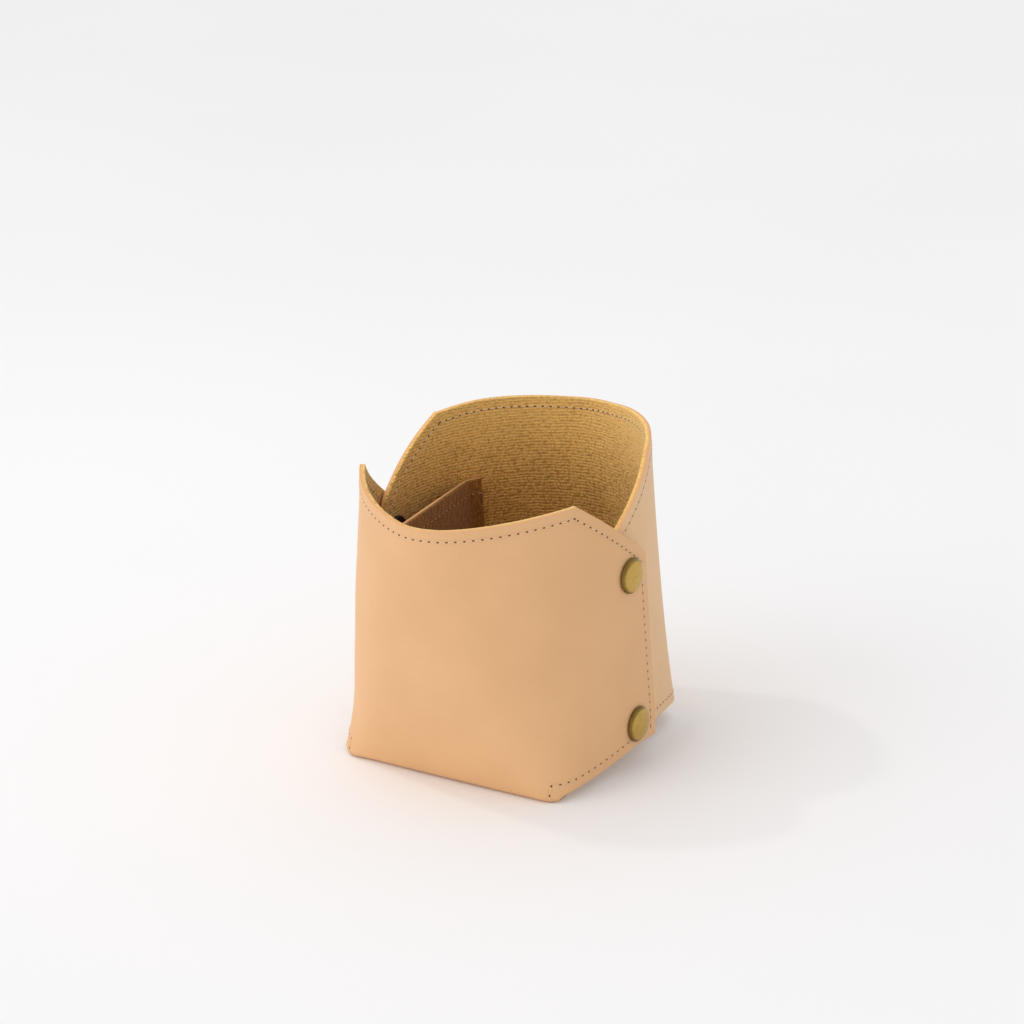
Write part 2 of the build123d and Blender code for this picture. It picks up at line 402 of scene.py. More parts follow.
def front_foot(s):
    """Lower cut edge of the front wing: it leaves the fold in a tight hollow curve, which dies
    away exponentially, and then climbs evenly."""
    return foot_climb(s) + (fold_end - foot_climb(s)) * np.exp(heel_s - s)


def front_outline(side):
    """Lower and upper outline of one half of the front sheet on the flat: below, the end of the
    base fold and then the wing's foot; above, the dipping rim and then the cut corner. The left
    peak was cut and formed a little higher than the right one."""
    peak_y, peak_z, rise_start, power = peaks[side]
    peak_s = length_at(1, peak_y, np.array(peak_z))
    peak_x = wall(peak_s, np.array(peak_z), 0.0)[0]
    rim_s = peak_s * panel_shares
    rim_z = np.full(len(rim_s), rim_low)
    for settling in range(8):
        climb = np.maximum(wall(rim_s, rim_z, 0.0)[:, 0] - rise_start, 0.0)
        rim_z = rim_low + (peak_z - rim_low) * (climb / (peak_x - rise_start)) ** power
    slope_y = peak_y + (end_top[0] - peak_y) * wing_shares
    slope_z = peak_z + (end_top[1] - peak_z) * wing_shares
    end_s = length_at(1, end_foot[0], np.array(end_foot[1]))
    wing_s = heel_s + (end_s - heel_s) * wing_shares
    bottom_s = np.concatenate([heel_s * panel_shares, wing_s])
    bottom_v = np.concatenate([np.full(len(panel_shares), fold_end), front_foot(wing_s)])
    top_s = np.concatenate([rim_s, length_at(1, slope_y, slope_z)])
    top_z = np.concatenate([rim_z, slope_z])
    return np.stack([bottom_s, bottom_v], axis=-1), np.stack([top_s, top_z], axis=-1)


# How the left front corner stands out or in: how far, at which height and how widely. It does so
# between two places along the wall, with a run in and out.
corner_swells = ((0.35, 56.0, 13.0), (-0.3, 88.0, 10.0), (-0.8, 17.0, 12.0), (0.8, 0.0, 5.0))
swell_from = 28.0
swell_to = 60.0
swell_run = 12.0


def bulge(s, z, side):
    """How far the left front corner stands out beyond the even shape: a soft swell in the
    middle, a rim drawn in a little, a slight waist and a flared foot."""
    swell = sum(out * np.exp(-((z - middle) / width) ** 2) for out, middle, width in corner_swells)
    fade = np.clip((swell_to - s) / swell_run, 0.0, 1.0)
    return swell * ease((s - swell_from) / swell_run) * fade * (side < 0)


def place_front(flat, depth, side):
    """Places of the flat front sheet folded round the holder, right (1) or left (-1) half."""
    height, inset = folded(flat[..., 1], depth)
    points = wall(flat[..., 0], height, inset - bulge(flat[..., 0], height, side))
    return points * (side, 1.0, 1.0) + (0.0, base_middle_y, 0.0)


def inside_line(line, distance):
    """Line that runs beside another one, to its left, at a distance: every run is shifted and
    the shifted runs meet on the corners' bisectors."""
    way = unit(np.diff(line, axis=0))
    before = np.concatenate([way[:1], way])
    after = np.concatenate([way, way[-1:]])
    middle = before + after
    left = np.stack([-middle[:, 1], middle[:, 0]], axis=-1)
    scale = distance * 2.0 / (middle ** 2).sum(-1, keepdims=True)
    return line + left * scale


def seam_runs(top, end, foot, turn_in):
    """Seam of one half as runs from corner to corner: below the rim and down the cut corner,
    down beside the wing's end, along the wing's foot, and then through the given places."""
    peak = len(panel_shares) - 1
    rim = top[:peak:4]
    fall = top[peak:-1:4]
    line = np.concatenate([rim, fall, top[-1:], end, foot])
    line = inside_line(line, -seam_inset)
    line[0, 0] = 0.0
    marks = np.cumsum([len(rim), len(fall) + 1, len(end)])
    runs = [line[:marks[0] + 1], line[marks[0]:marks[1]], line[marks[1] - 1:marks[2] + 1],
            line[marks[2]:]]
    runs.append(np.concatenate([line[-1:], turn_in]))
    return runs


def distance_to_runs(flat, runs):
    """Shortest distance from each place on the flat sheet to any run of a seam."""
    return np.min([distance_to(flat, run) for run in runs], axis=0)


leather = leather_finish("leather", (228, 178, 126), (233, 183, 131))
cut_edge = edge_finish()
wing_start = len(panel_shares) - 1
seam_turn_back = 1.6
heel_turn = np.array([(38.3, 2.7), (38.1, -0.35)])
front_flats, front_edges, front_seams, front_seam_gaps = {}, {}, {}, {}
for side in (1, -1):
    bottom, top = front_outline(side)
    flat = sheet_grid(bottom, top)
    foot_s = np.linspace(bottom[-1, 0], heel_s - seam_turn_back, 12)
    foot = np.stack([foot_s, foot_climb(foot_s)], axis=-1)
    front_flats[side] = flat
    front_seams[side] = seam_runs(top, flat[-8:8:-12, -1], foot, heel_turn)
    front_edges[side] = distance_to(flat, np.concatenate(
        [bottom[wing_start:], flat[1:-1, -1], top[::-1]]))
    front_seam_gaps[side] = distance_to_runs(flat, front_seams[side])

# The crease in plan, half the run over which the sheet bends there, and the height of both ends
# of that run, in metres.
crease = np.array([39.337, -39.686])
bend_half = np.array([4.0, 4.0])
bend_height = 0.05


def bend_with_wing(piece, side):
    """Bakes the piece's placement into its mesh; it works out the crease's ends but does not bend.
    """
    wing = "right_wing" if side > 0 else "left_wing"
    start = (*((crease - bend_half) * (side, 1.0) / 1000.0).tolist(), bend_height)
    end = (*((crease + bend_half) * (side, 1.0) / 1000.0).tolist(), bend_height)
    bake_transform(piece)


side_names = {1: "right", -1: "left"}


def front_piece(name, side, outer_depth, inner_depth, materials):
    """One layer of one half of the front sheet, between two depths in it."""
    flat, edge, seam = front_flats[side], front_edges[side], front_seam_gaps[side]
    grids = [place_front(flat, depth, side) for depth in (outer_depth, inner_depth)]
    piece = shell(name, *[grid[:, ::side] for grid in (*grids, flat, edge, seam)], materials)
    bend_with_wing(piece, side)
    return piece


for side, label in side_names.items():
    piece = front_piece(f"front_sheet_{label}", side, rounding(front_edges[side], edge_radius),
                        leather_thick, [leather, cut_edge])
    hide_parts(f"{label}_wing_leather")


# Front sheet, lining
# A brown knitted fabric is bonded to the whole inner side of the leather and cut with it. Its
# small napped tufts stand in rows that run along the rim.

def lining_finish(name, across, along, low, high, upright=False):
    """Napped knit: fine rows of small soft bumps with a thin darker line between the rows. across
    and along are the bumps' spacing over and along the rows, which run level or upright, and low
    and high the two ends of its colour. The rows blur towards the right side. The colour is
    painted lighter towards the top of the walls and towards the right side: painted light."""
    finish = Finish(name, roughness=0.95, sheen_weight=0.15, sheen_roughness=0.5)
    flat = finish.node("UVMap", {"uv_map": "flat"})
    place = finish.node("TexCoord", output="Object")
    drift = finish.noise(place, 260.0, 2.0)
    length, height = [part * 100.0 for part in finish.split(flat)[:2]]
    if upright:
        length, height = height, length
    over_x, over_z = finish.split(place)[::2]
    right = over_x.between(-0.005, 0.03)
    upper = over_z.between(0.06, 0.1)
    row = height / across + drift * (right * 2.4 + 1.0)
    step = length / along + drift * 4.0
    cell = finish.node("CombineXYZ", X=step, Y=row)
    bump = finish.node("TexVoronoi", {"voronoi_dimensions": "2D", "feature": "F1"},
                       Vector=cell, Scale=1.0, Randomness=1.0)
    ridge = ((row * (2.0 * np.pi)).wave() * 0.5 + 0.5) * (1.0 - right * 0.6)
    fuzz = finish.noise(place, 1700.0, 4.0, 0.75)
    patch = finish.noise(place, 75.0, 2.0)
    pile = 1.0 - bump.between(0.1, 0.85)
    light = pile * 0.25 + ridge * 0.2 + fuzz.between(0.25, 0.75) * 0.45 + patch * 0.25
    # Painted light: the colour is lifted towards the top of the walls and towards the right side,
    # where the lamp shines in through the mouth.
    light = light + upper * 0.4 + right * 0.22 - 0.25
    colour = finish.blend(light.between(0.0, 1.0), shade(*low), shade(*high))
    finish.set(base_color=colour, normal=finish.relief(pile * 0.4 + ridge * 0.5 + fuzz * 0.6,
                                                       0.22, 0.8))
    return finish.material


lining_radius = 0.3
lining = lining_finish("lining", 1.05, 1.3, (150, 104, 38), (250, 203, 118))
for side, label in side_names.items():
    piece = front_piece(f"front_lining_{label}", side, leather_thick,
                        sheet_thick - rounding(front_edges[side], lining_radius), [lining, lining])
    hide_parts(f"{label}_wing_lining")


# Back sheet
# The taller back panel and its two wings, the inner half of the same cut sheet. The front wings
# close over its wings, and their upper corners are cut off and rounded.

back_peak_y = -18.0
back_peak_z = 100.65
rim_middle = 100.8
rim_crest = 102.0
crest_x = 30.5
rim_fall = 1.4
rim_fall_run = 9.2
slope_foot = np.array([12.0, 77.4])
slope_corner = 7.0
back_half_width = 31.0
foot_crest = 8.5
foot_crest_s = 66.0
foot_drop = 1.15
foot_drop_run = 18.5
heel_hollow = 1.2


def back_rim(x):
    """Height of the back rim over the sideways place x: lowest in the middle, a soft crest on
    each side and a fall to the peak."""
    fall = (np.maximum(x - crest_x, 0.0) / rim_fall_run) ** 2
    return rim_middle + (rim_crest - rim_middle) * ease(x / crest_x) - rim_fall * fall


def back_climb(s):
    """Height of the back wing's foot, highest at the far end."""
    return foot_crest - foot_drop * (np.maximum(foot_crest_s - s, 0.0) / foot_drop_run) ** 2


def back_outline():
    """Lower and upper outline of the right half of the back sheet, and how far its end leans out
    at a height. The corner of slope and end is an arc, and the outlines meet in its middle."""
    spread = np.arccos(-unit(slope_foot - (back_peak_y, back_peak_z))[1])
    tangent = slope_corner * np.tan(spread / 2)
    hub = slope_foot - (slope_corner, tangent)
    upper = np.linspace(spread, spread / 2, 9)
    lower = np.linspace(0.0, spread / 2, 9)

    def arc(angles):
        return hub + slope_corner * np.stack([np.cos(angles), np.sin(angles)], axis=-1)

    slope = np.concatenate([[(back_peak_y, back_peak_z)], arc(upper)])
    along = length_along(slope)
    wing_y, wing_z = [np.interp(wing_shares, along / along[-1], slope[:, k]) for k in (0, 1)]
    peak_s = length_at(1, back_peak_y, np.array(back_peak_z), nest)
    rim_s = peak_s * panel_shares
    rim_z = back_rim(wall(rim_s, np.full(len(rim_s), rim_crest), nest)[:, 0])
    rim_z[-1] = back_peak_z
    heel = length_at(0, back_half_width, np.array(fold_radius), nest)
    end_s = length_at(1, slope_foot[0], np.array(foot_crest), nest)
    wing_s = heel + (end_s - heel) * wing_shares
    under = back_climb(wing_s)
    under = under + (fold_end - under) * np.exp((heel - wing_s) / heel_hollow)
    bottom_s = np.concatenate([heel * panel_shares, wing_s])
    bottom_v = np.concatenate([np.full(len(panel_shares), fold_end), under])
    top_s = np.concatenate([rim_s, length_at(1, wing_y, wing_z, nest)])
    top_z = np.concatenate([rim_z, wing_z])
    end = np.concatenate([[(slope_foot[0], under[-1])], arc(lower)])
    straight = np.interp(end[:, 1], end[[0, -1], 1], end[[0, -1], 0])
    return (np.stack([bottom_s, bottom_v], axis=-1), np.stack([top_s, top_z], axis=-1),
            lambda z: np.interp(z, end[:, 1], end[:, 0] - straight))


back_bottom, back_top, end_lean = back_outline()
reach_out = np.concatenate([0.0 * panel_shares, wing_shares]) ** 8
back_half = sheet_grid(back_bottom, back_top, lambda z: end_lean(z) * reach_out)
half_edge = distance_to(back_half, np.concatenate(
    [back_bottom[wing_start:], back_half[1:-1, -1], back_top[::-1]]))
back_heel = back_bottom[wing_start, 0]
foot_s = np.linspace(back_bottom[-1, 0], back_heel + 2.0, 12)
back_foot = np.stack([foot_s, back_climb(foot_s)], axis=-1)
back_turn = np.array([(back_heel - 3.0, 3.2), (back_heel - 3.0, -0.35)])
back_seam = seam_runs(back_top, back_half[-12:8:-12, -1], back_foot, back_turn)
half_seam = distance_to_runs(back_half, back_seam)
back_flat = np.concatenate([back_half[:, :0:-1] * (-1.0, 1.0), back_half], axis=1)
back_edge, back_seam_gap = [np.concatenate([half[:, :0:-1], half], axis=1)
                            for half in (half_edge, half_seam)]
right_rise = 0.5
right_spread = 0.4


def place_back(flat, depth):
    """Places of the flat back sheet folded round the holder, inside the front wings. Its right
    rim stands a little higher and further out than the left one."""
    s = flat[..., 0]
    height, inset = folded(flat[..., 1], depth)
    upper = (np.maximum(height, 0.0) / rim_crest) ** 8
    rise = ease((s - 4.0) / 18.0)
    fade = np.clip((62.0 - s) / 20.0, 0.0, 1.0)
    points = wall(np.abs(s), height + right_rise * rise * fade * upper,
                  nest + inset - right_spread * rise * upper)
    turned = np.stack([np.where(s < 0.0, -1.0, 1.0), -np.ones(flat.shape[:-1]),
                       np.ones(flat.shape[:-1])], axis=-1)
    return points * turned + (0.0, base_middle_y, 0.0)


def back_piece(name, outer_depth, inner_depth, materials):
    """One layer of the back sheet, between two depths in it."""
    grids = (place_back(back_flat, outer_depth), place_back(back_flat, inner_depth))
    grids = [grid[:, ::-1] for grid in (*grids, back_flat, back_edge, back_seam_gap)]
    return shell(name, *grids, materials)


# The back sheet is the same leather as the front, painted lighter: painted light.
back_leather_painted_light = leather_finish("back_leather_painted_light", (234, 192, 144), (239, 197, 149))
back = back_piece("back_sheet", rounding(back_edge, edge_radius), leather_thick,
                  [back_leather_painted_light, cut_edge])
back_lining = back_piece("back_lining", leather_thick,
                         sheet_thick - rounding(back_edge, lining_radius), [lining, lining])
for piece, layer in ((back, "leather"), (back_lining, "lining")):
    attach(piece, "body")
    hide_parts(f"body_{layer}")


# Base panel
# The flat bottom between the two folds. Its side edges are cut: they run straight back under the
# wings, which hang free above them, and widen in a small hollow curve at the front fold.

front_half_width = 39.4
front_hollow = 2.0
base_seam_inset = 3.2
base_rows = 1.0 - np.linspace(1.0, 0.0, 44) ** 1.6
base_shares = np.concatenate([-panel_shares[:0:-1], panel_shares])


def base_plan():
    """Plan of the base as a grid of x and y from the back fold to the front fold: straight rows
    between the two folds' ends, narrowed to the straight side edges."""
    front_line = np.concatenate([
        place_front(np.stack([heel_s * panel_shares, 0.0 * panel_shares + fold_end], axis=-1),
                    0.0, side)[::side, :2] for side in (-1, 1)])
    front_line = np.delete(front_line, len(panel_shares), axis=0)
    half = np.stack([back_heel * base_shares, 0.0 * base_shares + fold_end], axis=-1)
    back_line = place_back(half, 0.0)[:, :2]
    share = base_rows[:, None]
    grid = back_line * (1.0 - share[..., None]) + front_line * share[..., None]
    off_fold = (1.0 - share) * base_depth
    for part, end in ((base_shares <= 0.0, 0), (base_shares >= 0.0, -1)):
        front_x, back_x = abs(front_line[end, 0]), abs(back_line[end, 0])
        wide = back_x + (front_half_width - back_x) * share
        wide = wide + (front_x - front_half_width) * np.exp(-off_fold / front_hollow)
        grid[:, part, 0] *= wide / (back_x * (1.0 - share) + front_x * share)
    return grid


def place_base(plan, depth):
    """Places of the base at a depth above its underside."""
    height = np.broadcast_to(depth, plan.shape[:-1])[..., None]
    return np.concatenate([plan, height], axis=-1)


base_grid = base_plan()
base_edge = np.abs(base_grid[:, [0, -1], 0]).min(axis=1)[:, None] - np.abs(base_grid[..., 0])
base_edge = np.maximum(base_edge, 0.0)
base_seam_gap = np.abs(base_edge - base_seam_inset)


def base_piece(name, low, high, materials):
    """One layer of the base, between two depths above its underside."""
    grids = (base_grid, base_edge, base_seam_gap)
    return shell(name, place_base(base_grid, low), place_base(base_grid, high), *grids, materials)


base = base_piece("base_sheet", rounding(base_edge, edge_radius), leather_thick,
                  [leather, cut_edge])
base_lining = base_piece("base_lining", leather_thick,
                         sheet_thick - rounding(base_edge, lining_radius), [lining, lining])
for piece, layer in ((base, "leather"), (base_lining, "lining")):
    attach(piece, "body")


# Divider
# A separate strip of the same lined sheet stands inside near the left wall, bent at both ends
# into short tabs that lie along the front and the back. Its lining faces the main compartment.

divider_back = np.array([-37.3, base_depth / 2])
divider_front = np.array([-27.9, -base_depth / 2])
divider_height = 74.5
divider_tab = 3.4
divider_bend = 2.0
loose_gap = 0.3
stand_off = sheet_thick + loose_gap
divider_line = unit(divider_back - divider_front)
to_the_right = np.array([divider_line[1], -divider_line[0]])


def divider_end(heights, inset, flip):
    """Corners of the divider, one for each height, where its line meets a sheet's inner face,
    and the way in which the tab runs on from there."""
    low = np.zeros(len(heights))
    high = low + 70.0
    for halving in range(halvings):
        middle = (low + high) / 2
        at = wall(middle, heights, inset)[:, :2] * (-1.0, flip)
        right_of = (at - divider_front) @ to_the_right > 0.0
        low = np.where(right_of, middle, low)
        high = np.where(right_of, high, middle)
    at = wall(low, heights, inset)[:, :2] * (-1.0, flip)
    tab = wall(low - divider_tab, heights, inset)[:, :2] * (-1.0, flip) - at
    return at, unit(tab)


def bent_end(corner, tab, wall_way):
    """Bend from the wall to the tab and the tab up to its end: an arc that touches both, then a
    straight run. Gives places on the leather face and the way from there into the sheet."""
    cosine = (tab * wall_way).sum(-1, keepdims=True)
    hub = corner + (tab + wall_way) * divider_bend / (1.0 + cosine)
    first = corner + wall_way * divider_bend - hub
    second = corner + tab * divider_bend - hub
    radius = np.linalg.norm(first, axis=-1)[:, None, None]
    spread = np.arccos((first * second).sum(-1) / radius[:, 0, 0] ** 2)[:, None, None]
    share = np.linspace(0.0, 1.0, 11)[None, :, None]
    outward = np.sin((1.0 - share) * spread) * first[:, None]
    outward = (outward + np.sin(share * spread) * second[:, None]) / np.sin(spread) / radius
    arc = hub[:, None] + outward * radius
    reach = divider_tab / (tab @ to_the_right)[:, None] - divider_bend
    out = reach - fine_steps[::-1]
    run = arc[:, -1:] + tab[:, None] * out[..., None]
    inward = np.concatenate([-outward, np.repeat(-outward[:, -1:], len(fine_steps), axis=1)],
                            axis=1)
    return np.concatenate([arc, run], axis=1), inward


def divider_path(heights):
    """The divider in plan at each height: tab along the back sheet, bend, straight wall, bend,
    tab along the front sheet."""
    sag = rounding(heights - sheet_thick, fold_radius - sheet_thick)
    back_at, back_tab = divider_end(heights, nest + stand_off + sag, -1.0)
    front_at, front_tab = divider_end(heights, stand_off + sag, 1.0)
    back_end, back_in = bent_end(back_at, back_tab, -divider_line)
    front_end, front_in = bent_end(front_at, front_tab, divider_line)
    share = np.linspace(0.0, 1.0, 42)[1:-1, None]
    straight = back_end[:, :1] * (1.0 - share) + front_end[:, :1] * share
    straight_in = np.broadcast_to(to_the_right, straight.shape)
    path = np.concatenate([back_end[:, ::-1], straight, front_end], axis=1)
    return path, np.concatenate([back_in[:, ::-1], straight_in, front_in], axis=1)


def place_divider(path, inward, heights, depth):
    """Places of the divider at a depth from its leather face."""
    plan = path + inward * np.broadcast_to(depth, path.shape[:2])[..., None]
    rise = np.broadcast_to(heights[:, None, None], (*plan.shape[:2], 1))
    return np.concatenate([plan, rise], axis=-1) + (0.0, base_middle_y, 0.0)


rest_gap = 0.05
divider_foot = sheet_thick + rest_gap
divider_heights = divider_foot + (divider_height - divider_foot) * close_to_ends(60, 72.5)
divider_plan, divider_in = divider_path(divider_heights)
steps = np.linalg.norm(np.diff(divider_plan, axis=1), axis=-1)
along = np.concatenate([np.zeros((len(steps), 1)), np.cumsum(steps, axis=1)], axis=1)
rise = np.broadcast_to(divider_heights[:, None], along.shape)
divider_flat = np.stack([along - along[:, -1:] / 2, rise], axis=-1)
divider_edge = np.minimum(np.minimum(divider_height - rise, rise - divider_foot),
                          np.minimum(along, along[:, -1:] - along))
divider_seam_inset = 5.0
divider_seam_height = divider_height - divider_seam_inset
divider_seam_gap = np.abs(divider_flat[..., 1] - divider_seam_height)
# The divider's lining is the same knit painted darker: painted shade, for the shade inside the
# holder.
divider_lining = lining_finish("divider_lining", 1.0, 2.2, (104, 62, 10), (176, 118, 40), True)


def divider_piece(name, outer_depth, inner_depth, materials):
    """One layer of the divider, between two depths in it."""
    places = [place_divider(divider_plan, divider_in, divider_heights, depth)
              for depth in (outer_depth, inner_depth)]
    return shell(name, *places, divider_flat, divider_edge, divider_seam_gap, materials)


divider = divider_piece("divider_sheet", rounding(divider_edge, edge_radius), leather_thick,
                        [leather, cut_edge])
divider_inside = divider_piece("divider_lining_sheet", leather_thick,
                               sheet_thick - rounding(divider_edge, lining_radius),
                               [divider_lining, divider_lining])
for piece, layer in ((divider, "leather"), (divider_inside, "lining")):
    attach(piece, "body")
    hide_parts(f"divider_{layer}")


# Thread
# A fine polyester thread lock-stitched near every cut edge, so that each row shows on both faces:
# leather-coloured outside and pale beige inside. Each stitch ends in a small needle hole, painted
# dark as painted shade.

stitch_pitch = 2.78
stitch_gap = 0.42
thread_radius = 0.19
sunk = 0.2
proud = 0.04
hole_half_length = 0.46
hole_half_width = 0.3
hole_rim_lift = 0.012
hole_dome = 0.03
hole_depth = 0.1
base_thread_lift = 0.22


def stitch_ends(runs):
    """Needle holes along each run of a seam, evenly spaced with one at each of its ends, as two
    lists: where each stitch starts and where it stops."""
    starts, stops = [], []
    for line in runs:
        span = length_along(line)
        holes = np.linspace(0.0, span[-1], max(2, int(round(span[-1] / stitch_pitch)) + 1))
        for places, at in ((starts, holes[:-1]), (stops, holes[1:])):
            places.append(np.stack([np.interp(at, span, line[:, k]) for k in (0, 1)], axis=-1))
    return np.concatenate(starts), np.concatenate(stops)


def stitches(name, runs, place, materials):
    """Rows of stitches: each is a short bent tube of six sides that rises from one needle hole
    and sinks into the next, and each hole is a small flat lens. place gives a point from a flat
    place and a height above the face."""
    first, last = stitch_ends(runs)
    inward = unit(last - first) * stitch_gap
    start, stop = first + inward, last - inward
    share = np.array([0.0, 0.1, 0.3, 0.7, 0.9, 1.0])[:, None, None]
    lifts = np.array([-sunk, -proud, proud, proud, -proud, -sunk])
    height = lifts[:, None] + 0 * start[None, :, 0]
    thick = thread_radius * np.array([0.45, 0.9, 1.0, 1.0, 0.9, 0.45])[:, None, None, None]
    flat = start + (stop - start) * share
    centre = place(flat, height)
    up = unit(place(flat, height + 0.5) - place(flat, height - 0.5))
    along = np.broadcast_to(centre[-1] - centre[0], centre.shape)
    beside = unit(np.cross(along, up))
    angle = np.linspace(0.0, 2 * np.pi, 7)[:-1, None]
    ring = up[..., None, :] * np.sin(angle) + beside[..., None, :] * np.cos(angle)
    tube = centre[..., None, :] + ring * thick
    count = tube.shape[1]
    points = tube.transpose(1, 0, 2, 3).reshape(count, 36, 3)
    corner = np.arange(36).reshape(6, 6)
    turned = np.roll(corner, -1, axis=1)
    sides = np.stack([corner[:-1], corner[1:], turned[1:], turned[:-1]], axis=-1).reshape(-1, 4)
    caps = np.array([[5, 4, 1, 0], [4, 3, 2, 1], [30, 31, 34, 35], [31, 32, 33, 34]])
    one = np.concatenate([sides, caps])
    faces = (one[None] + 36 * np.arange(count)[:, None, None]).reshape(-1, 4)

    hole_flat = np.concatenate([first, last])
    level = np.zeros(len(hole_flat))
    hub = place(hole_flat, level)
    hole_up = unit(place(hole_flat, level + 0.5) - place(hole_flat, level - 0.5))
    hole_along = unit(np.concatenate([along[0], along[0]]))
    hole_beside = np.cross(hole_along, hole_up)
    rim = hole_along[:, None] * np.cos(angle) * hole_half_length
    rim = rim + hole_beside[:, None] * np.sin(angle) * hole_half_width
    lens = np.concatenate([hub[:, None] + rim + hole_up[:, None] * hole_rim_lift,
                           (hub + hole_up * hole_dome)[:, None],
                           (hub - hole_up * hole_depth)[:, None]], axis=1)
    edge = np.arange(6)
    after = np.roll(edge, -1)
    upper = np.stack([after, edge, np.full(6, 6)], axis=-1)
    lower = np.stack([edge, after, np.full(6, 7)], axis=-1)
    disc = np.concatenate([upper, lower])
    lens_faces = (disc[None] + 8 * np.arange(len(lens))[:, None, None]).reshape(-1, 3)
    lens_faces = lens_faces + 36 * count

    mesh = bpy.data.meshes.new(name)
    every = np.concatenate([points.reshape(-1, 3), lens.reshape(-1, 3)]) / 1000.0
    mesh.from_pydata(every.tolist(), [], faces.tolist() + lens_faces.tolist())
    for material in materials:
        mesh.materials.append(material)
    kinds = np.repeat([0, 1], [len(faces), len(lens_faces)]).astype(np.int32)
    mesh.polygons.foreach_set("material_index", kinds)
    mesh.shade_smooth()
    piece = bpy.data.objects.new(name, mesh)
    bpy.context.collection.objects.link(piece)
    work = bmesh.new()
    work.from_mesh(mesh)
    bmesh.ops.recalc_face_normals(work, faces=work.faces)
    work.to_mesh(mesh)
    work.free()
    return piece


def thread_finish(name, low, high):
    """Spun thread: fine slanting plies and a soft sheen."""
    finish = Finish(name, roughness=0.6, sheen_weight=0.2)
    place = finish.node("TexCoord", output="Object")
    ply = finish.node("TexWave", {"bands_direction": "DIAGONAL"}, Vector=place, Scale=900.0)
    colour = finish.blend(ply.between(0.2, 0.8), shade(*low), shade(*high))
    finish.set(base_color=colour, normal=finish.relief(ply, 0.04, 0.6))
    return finish.material


def hole_shade_finish():
    """Needle hole painted dark brown where the sheet is pulled down: painted shade of the hole."""
    finish = Finish("needle_hole_painted_shade", roughness=0.9)
    place = finish.node("TexCoord", output="Object")
    spot = finish.noise(place, 1500.0)
    finish.set(base_color=finish.blend(spot, shade(104, 66, 30), shade(136, 90, 48)))
    return finish.material


hole = hole_shade_finish()
outer_thread = [thread_finish("thread_outside", (222, 178, 132), (244, 214, 178)), hole]
inner_thread = [thread_finish("thread_inside", (206, 178, 142), (238, 218, 190)), hole]
thread_faces = (("outer", 0.0, 1, outer_thread), ("inner", sheet_thick, -1, inner_thread))
base_line = np.array([base_grid[0, -1] - (3.0, 0.0), base_grid[-1, -1] - (4.0, 0.0)])
# The divider's thread is the same thread painted darker brown: painted shade inside the holder.
divider_thread_painted_shade = [thread_finish("thread_divider_painted_shade", (150, 108, 66), (190, 148, 100)), hole]
divider_top_line = np.array([(-40.0, 0.0), (40.0, 0.0)])
top_plan, top_in = [grid[0] for grid in divider_path(np.array([divider_seam_height]))]
top_along = length_along(top_plan)
top_along = top_along - top_along[-1] / 2


def on_divider(flat, height, level, outward):
    """Places along the divider's seam, at a height above one of its faces."""
    at, way = [np.stack([np.interp(flat[..., 0], top_along, grid[:, k]) for k in (0, 1)], axis=-1)
               for grid in (top_plan, top_in)]
    at = at + way * (level - outward * height)[..., None]
    rise = np.broadcast_to(divider_seam_height + 0.0 * flat[..., :1], (*at.shape[:-1], 1))
    return np.concatenate([at, rise], axis=-1) + (0.0, base_middle_y, 0.0)


for face, level, outward, thread in thread_faces:
    for side, label in side_names.items():
        def on_front(flat, height):
            return place_front(flat, level - outward * height, side)

        seam = stitches(f"front_thread_{label}_{face}", front_seams[side], on_front, thread)
        bend_with_wing(seam, side)

    def on_back(flat, height):
        return place_back(flat, level - outward * height)

    def on_base(flat, height):
        return place_base(flat, max(level, base_thread_lift) - outward * height)

    def on_wall(flat, height):
        return on_divider(flat, height, level, outward)

    both = back_seam + [run * (-1.0, 1.0) for run in back_seam]
    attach(stitches(f"back_thread_{face}", both, on_back, thread), "body")
    both = [base_line, base_line * (-1.0, 1.0)]
    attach(stitches(f"base_thread_{face}", both, on_base, thread), "body")
    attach(stitches(f"divider_thread_painted_shade_{face}", [divider_top_line], on_wall, divider_thread_painted_shade),
            "body")


# Snap fasteners
# Each side is held by two press fasteners. Their low domed caps are aged brass, lighter on the
# dome and dark round the rim; inside, black enamelled heads hold the studs.

def brass_finish(name, middle):
    """Aged brass with fine brushed rings: lighter on the dome, darker at the rim and in blotches.
    """
    finish = Finish(name, metallic=1.0)
    place = finish.node("TexCoord", output="Object")
    centred = finish.node("VectorMath", {"operation": "SUBTRACT"}, Vector=place)
    centred.socket.node.inputs[1].default_value = (middle / 1000.0).tolist()
    across, upright = [part * 1000.0 for part in finish.split(centred)[1:]]
    radius = (across * across + upright * upright).math("SQRT")
    blotch = finish.noise(place, 420.0, 4.0, 0.65)
    scratch = finish.noise(place, 2400.0, 3.0, 0.6)
    rim = radius.between(4.7, 5.7)
    darker_rim_and_blotches = (rim * 0.85 + blotch.between(0.45, 0.8) * 0.3).math("MINIMUM", 1.0)
    colour = finish.blend(darker_rim_and_blotches, shade(193, 156, 79), shade(94, 68, 22))
    colour = finish.blend(scratch * 0.2, colour, shade(222, 196, 124))
    finish.set(base_color=colour, roughness=0.16 + blotch * 0.14 + rim * 0.1)
    finish.set(normal=finish.relief(scratch, 0.01, 0.35))
    return finish.material


def enamel_finish():
    """Black enamel with a slight orange-peel surface."""
    finish = Finish("black_enamel", base_color=shade(14, 14, 14))
    place = finish.node("TexCoord", output="Object")
    peel = finish.noise(place, 900.0, 2.0)
    finish.set(roughness=0.26 + peel * 0.12, normal=finish.relief(peel, 0.01, 0.4))
    return finish.material


